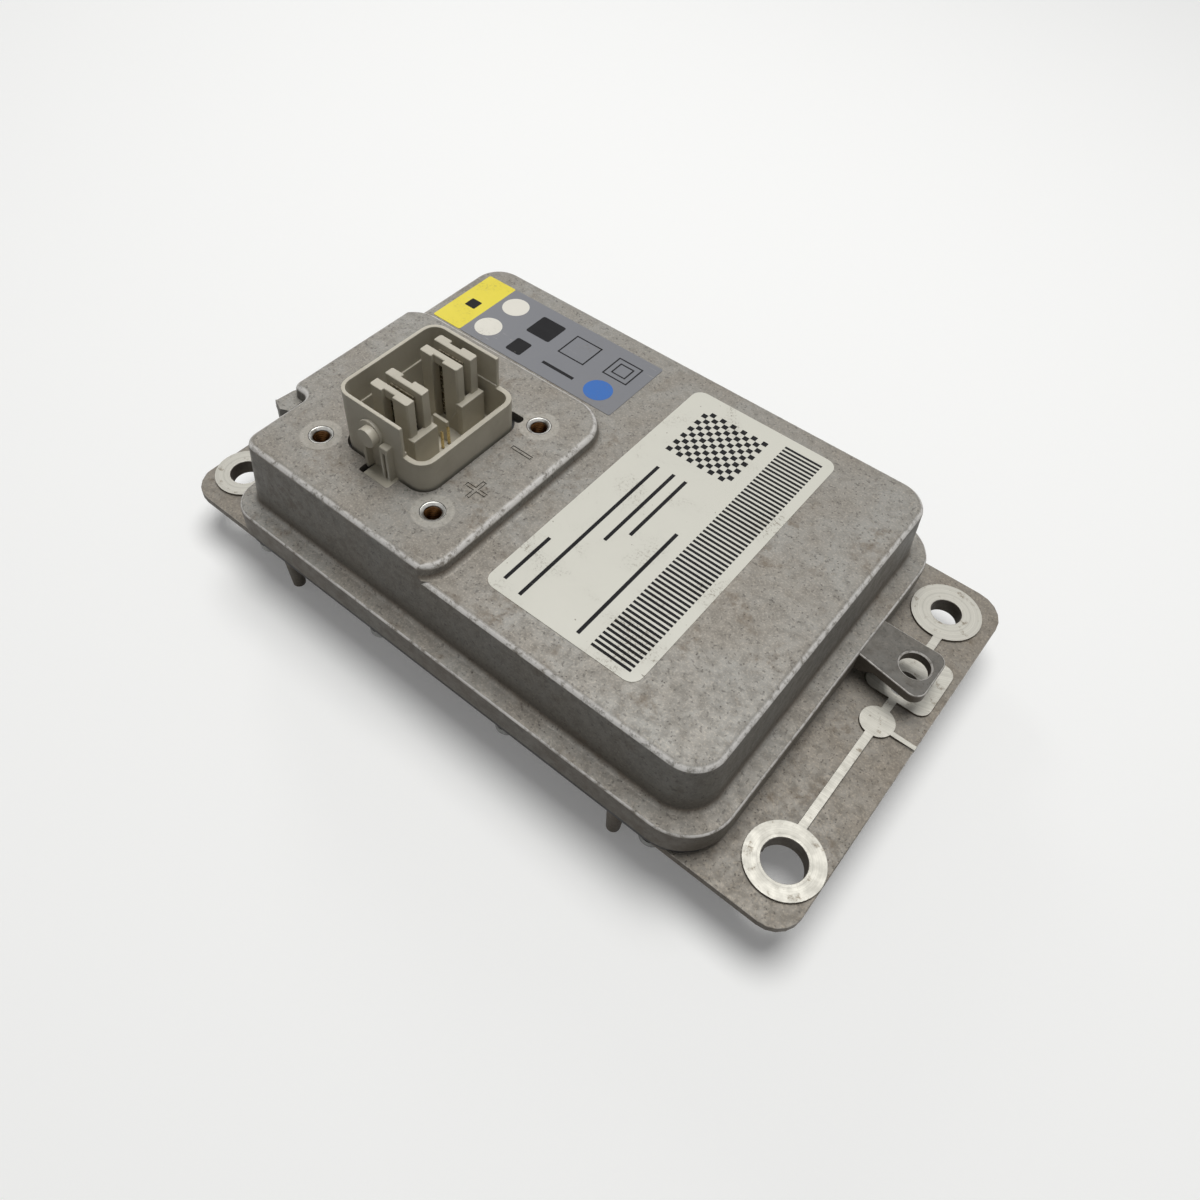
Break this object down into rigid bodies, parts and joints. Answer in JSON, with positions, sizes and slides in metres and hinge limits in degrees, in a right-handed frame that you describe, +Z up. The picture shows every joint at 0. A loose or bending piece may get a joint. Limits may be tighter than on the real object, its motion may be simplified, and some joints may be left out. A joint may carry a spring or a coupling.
{
  "type": "lithium car battery",
  "caption": "Lithium car battery: die-cast aluminium box with a plug header on a raised platform, bolt ears at both ends, an earth tab and a tub of cells below.",
  "frame": {"origin": "bottom centre of the battery, in the plane that the tub stands on", "axes": "+Z up, out of the plug header; +X along the long side, towards the end with the earth tab; +Y towards the back long side"},
  "size_m": [0.2246, 0.1309, 0.073],
  "materials": {
    "base_metal": "as cast, with machined faces round the bolt holes",
    "cover_metal": "as cast, lightly blasted, with worn edges",
    "seal_rubber": "matt black",
    "pad_rubber": "soft silicone pad",
    "cell_can": "drawn can, bare",
    "natural_plastic": "natural, matt",
    "black_plastic": "black, matt",
    "copper": "bare copper, brushed",
    "board_green": "green solder resist on glass laminate",
    "chip_black": "moulded chip package",
    "shunt_alloy": "bare resistance alloy",
    "capacitor_sleeve": "shrink sleeve",
    "screw_steel": "zinc plated",
    "header_plastic": "light grey glass-filled plastic, fine texture",
    "contact_metal": "tin plated, dark",
    "pin_gold": "gold plated",
    "insert_steel": "machined steel bush",
    "label_white": "white film, matt, soiled",
    "label_grey": "grey film, matt",
    "label_yellow": "yellow film, matt"
  },
  "bodies": {
    "root": {"base_casting": "base_metal", "cover_casting": "cover_metal", "housing_seal": "seal_rubber", "thermal_pad": "pad_rubber", "cell_1": "cell_can", "cell_2": "cell_can", "cell_3": "cell_can", "cell_4": "cell_can", "cell_spacers": "natural_plastic", "end_insulators": "black_plastic", "cell_frame": "black_plastic", "cell_links": "copper", "positive_busbar": "copper", "negative_busbar": "copper", "board_carrier": "black_plastic", "control_board": "board_green", "power_switches": "chip_black", "shunt_resistor": "shunt_alloy", "capacitors": "capacitor_sleeve", "board_screws": "screw_steel", "header_housing": "header_plastic", "header_seal": "seal_rubber", "header_screws": "screw_steel", "positive_contact": "contact_metal", "negative_contact": "contact_metal", "signal_pins": "pin_gold", "threaded_inserts": "insert_steel", "housing_screws": "screw_steel", "white_label": "label_white", "grey_label": "label_grey", "yellow_label": "label_yellow"}
  },
  "joints": []
}
